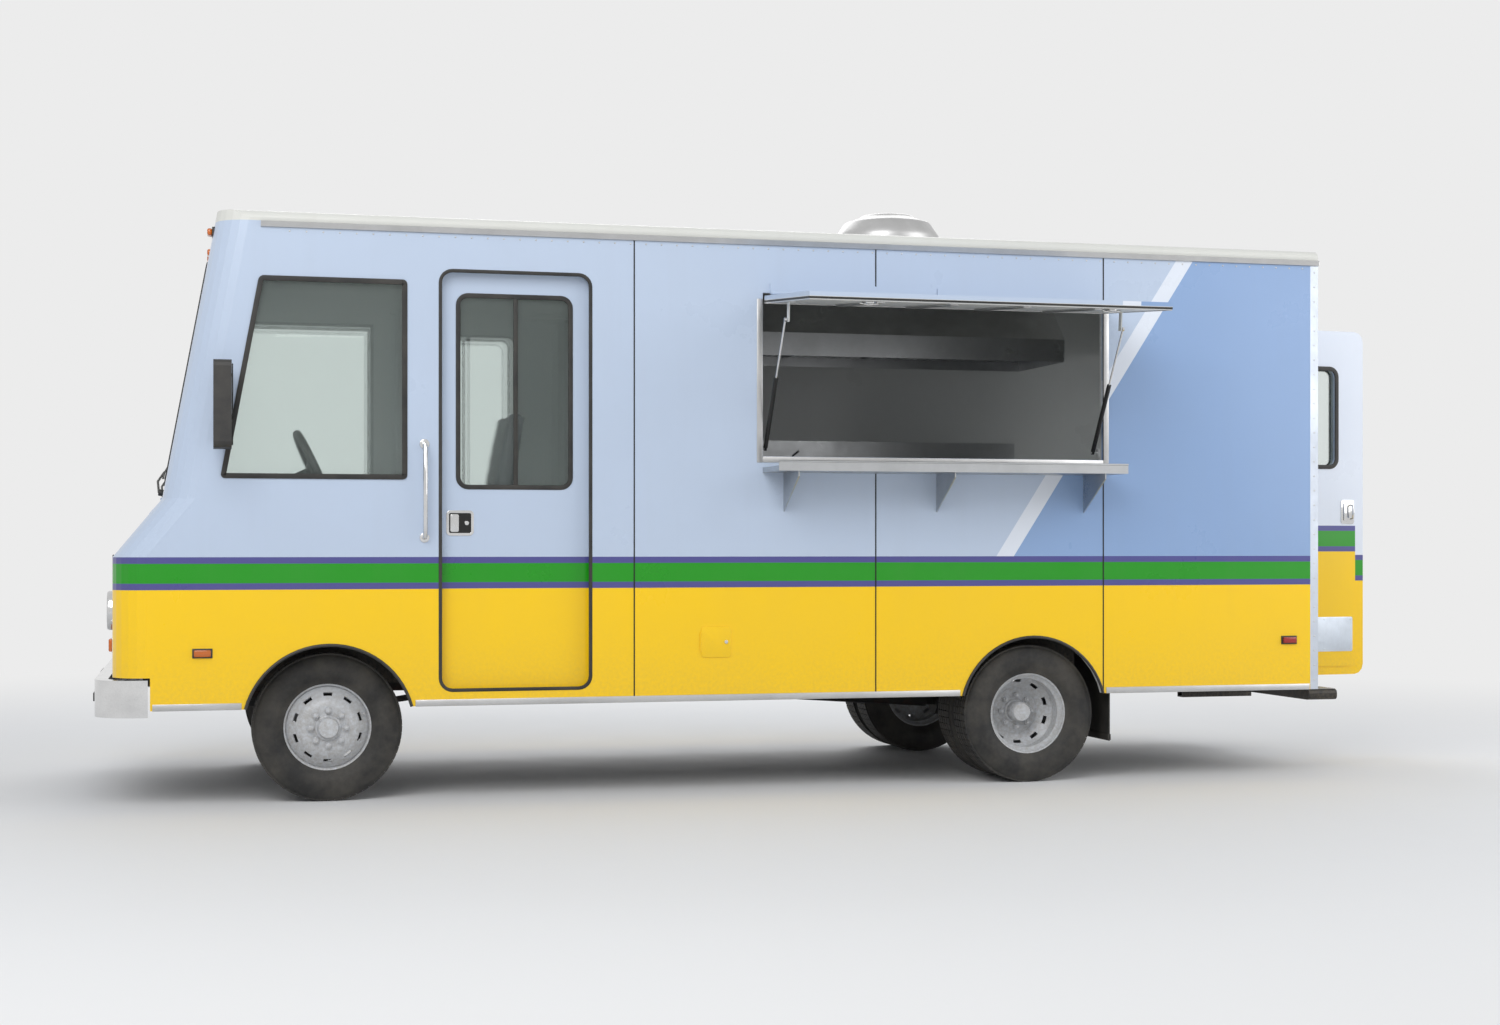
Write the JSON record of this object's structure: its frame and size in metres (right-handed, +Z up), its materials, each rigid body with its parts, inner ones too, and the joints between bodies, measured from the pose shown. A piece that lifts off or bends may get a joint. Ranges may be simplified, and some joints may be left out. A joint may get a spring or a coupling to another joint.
{
  "type": "food truck on a walk-in van body",
  "caption": "Walk-in van fitted as a kitchen, with a hinged serving hatch and shelf, sliding cab doors, an open rear door, steered front wheels and twin rear wheels.",
  "frame": {"origin": "on the ground, midway between the axles, on the centre line", "axes": "+X towards the tail, +Z up, -Y towards the serving side"},
  "size_m": [7.0402, 3.2273, 3.102],
  "materials": {
    "body_paint": "two-tone gloss paint, blue over yellow with a banded belt",
    "door_paint": "yellow gloss paint with a green belt",
    "hatch_paint": "blue gloss paint",
    "roof_paint": "white paint, satin",
    "post_metal": "bright extrusion",
    "chassis_black": "satin chassis black",
    "cast_steel": "rough cast",
    "radiator_black": "black finned core",
    "exhaust_steel": "heat-stained steel",
    "tank_steel": "black paint",
    "wheel_paint": "silver wheel paint",
    "tyre": "black rubber",
    "floor_plate": "tread plate",
    "glass": "clear laminated glass",
    "grille_metal": "satin black",
    "lamp_glass": "fluted lamp lens",
    "lamp_red": "red lens",
    "bumper_chrome": "polished",
    "bumper_steel": "black powder coat",
    "black_plastic": "grained",
    "strut_black": "black enamel",
    "chrome_rod": "polished rod",
    "stainless": "brushed stainless",
    "fan_metal": "spun aluminium",
    "seat_vinyl": "vinyl cover"
  },
  "bodies": {
    "truck": {"chassis_frame": "chassis_black", "cook_line": "stainless", "corner_posts": "post_metal", "cross_members": "chassis_black", "dashboard": "black_plastic", "drive_shaft": "cast_steel", "driver_seat": "seat_vinyl", "engine_block": "cast_steel", "engine_cover": "black_plastic", "exhaust": "exhaust_steel", "fixed_glass": "glass", "floor": "floor_plate", "fridge": "stainless", "front_axle": "chassis_black", "front_bumper": "bumper_chrome", "front_cowl": "body_paint", "fuel_tank": "tank_steel", "grille": "grille_metal", "headlamps": "lamp_glass", "kitchen_counter": "stainless", "leaf_springs": "chassis_black", "mirrors": "black_plastic", "radiator": "radiator_black", "range_hood": "stainless", "rear_axle": "chassis_black", "rear_bumper": "bumper_steel", "rear_wall": "body_paint", "roof": "roof_paint", "roof_vent": "fan_metal", "serving_shelf": "stainless", "side_wall_left": "body_paint", "side_wall_right": "body_paint", "stepwells": "floor_plate", "tail_lamps": "lamp_red"},
    "knuckle_left": {"knuckle_left": "cast_steel"},
    "knuckle_right": {"knuckle_right": "cast_steel"},
    "front_wheel_left": {"front_rim_left": "wheel_paint", "front_tyre_left": "tyre"},
    "front_wheel_right": {"front_rim_right": "wheel_paint", "front_tyre_right": "tyre"},
    "rear_wheels_left": {"rear_rims_left": "wheel_paint", "rear_tyres_left": "tyre"},
    "rear_wheels_right": {"rear_rims_right": "wheel_paint", "rear_tyres_right": "tyre"},
    "rear_door": {"rear_door": "door_paint"},
    "service_hatch": {"service_hatch": "hatch_paint"},
    "cab_door_left": {"cab_door_left": "body_paint"},
    "cab_door_right": {"cab_door_right": "body_paint"},
    "hood": {"hood": "body_paint"},
    "strut_barrel_front": {"strut_barrel_front": "strut_black"},
    "strut_barrel_rear": {"strut_barrel_rear": "strut_black"},
    "strut_rod_front": {"strut_rod_front": "chrome_rod"},
    "strut_rod_rear": {"strut_rod_rear": "chrome_rod"}
  },
  "joints": [
    {"name": "steer_left", "type": "hinge", "parent": "truck", "child": "knuckle_left", "pos_m": [-1.75, -0.78, 0.349], "axis": [0, 0, 1], "range_deg": [-35, 35]},
    {"name": "steer_right", "type": "hinge", "parent": "truck", "child": "knuckle_right", "pos_m": [-1.75, 0.78, 0.349], "axis": [0, 0, 1], "range_deg": [-35, 35]},
    {"name": "spin_front_left", "type": "hinge", "parent": "knuckle_left", "child": "front_wheel_left", "pos_m": [-1.75, -0.875, 0.349], "axis": [0, 1, 0], "continuous": true},
    {"name": "spin_front_right", "type": "hinge", "parent": "knuckle_right", "child": "front_wheel_right", "pos_m": [-1.75, 0.875, 0.349], "axis": [0, 1, 0], "continuous": true},
    {"name": "spin_rear_left", "type": "hinge", "parent": "truck", "child": "rear_wheels_left", "pos_m": [1.75, -0.8325, 0.349], "axis": [0, 1, 0], "continuous": true},
    {"name": "spin_rear_right", "type": "hinge", "parent": "truck", "child": "rear_wheels_right", "pos_m": [1.75, 0.8325, 0.349], "axis": [0, 1, 0], "continuous": true},
    {"name": "rear_door_hinge", "type": "hinge", "parent": "truck", "child": "rear_door", "pos_m": [3.364, -0.1625, 1.45], "axis": [0, 0, 1], "range_deg": [-26, 84]},
    {"name": "hatch_hinge", "type": "hinge", "parent": "truck", "child": "service_hatch", "pos_m": [1.23, -1.114, 2.4375], "axis": [1, 0, 0], "range_deg": [0, 85]},
    {"name": "cab_door_left_slide", "type": "slide", "parent": "truck", "child": "cab_door_left", "axis": [1, 0, 0], "range_m": [0, 0.7]},
    {"name": "cab_door_right_slide", "type": "slide", "parent": "truck", "child": "cab_door_right", "axis": [1, 0, 0], "range_m": [0, 0.7]},
    {"name": "hood_hinge", "type": "hinge", "parent": "truck", "child": "hood", "pos_m": [-2.511, 0, 1.428], "axis": [0, 1, 0], "range_deg": [0, 75]},
    {"name": "strut_swing_front", "type": "hinge", "parent": "truck", "child": "strut_barrel_front", "pos_m": [0.36, -1.035, 1.68], "axis": [1, 0, 0], "range_deg": [-38.54, 0]},
    {"name": "strut_slide_front", "type": "slide", "parent": "strut_barrel_front", "child": "strut_rod_front", "axis": [0, -0.5223, 0.8528], "range_m": [-0.2423, 0]},
    {"name": "strut_swing_rear", "type": "hinge", "parent": "truck", "child": "strut_barrel_rear", "pos_m": [2.1, -1.035, 1.68], "axis": [1, 0, 0], "range_deg": [-38.54, 0]},
    {"name": "strut_slide_rear", "type": "slide", "parent": "strut_barrel_rear", "child": "strut_rod_rear", "axis": [0, -0.5223, 0.8528], "range_m": [-0.2423, 0]}
  ],
  "couplings": [
    {"joint": "steer_right", "follows": "steer_left", "ratio": 1},
    {"joint": "strut_swing_front", "follows": "hatch_hinge", "ratio": -0.45108},
    {"joint": "strut_slide_front", "follows": "hatch_hinge", "m_per_rad": -0.16198},
    {"joint": "strut_swing_rear", "follows": "hatch_hinge", "ratio": -0.45108},
    {"joint": "strut_slide_rear", "follows": "hatch_hinge", "m_per_rad": -0.16198}
  ]
}
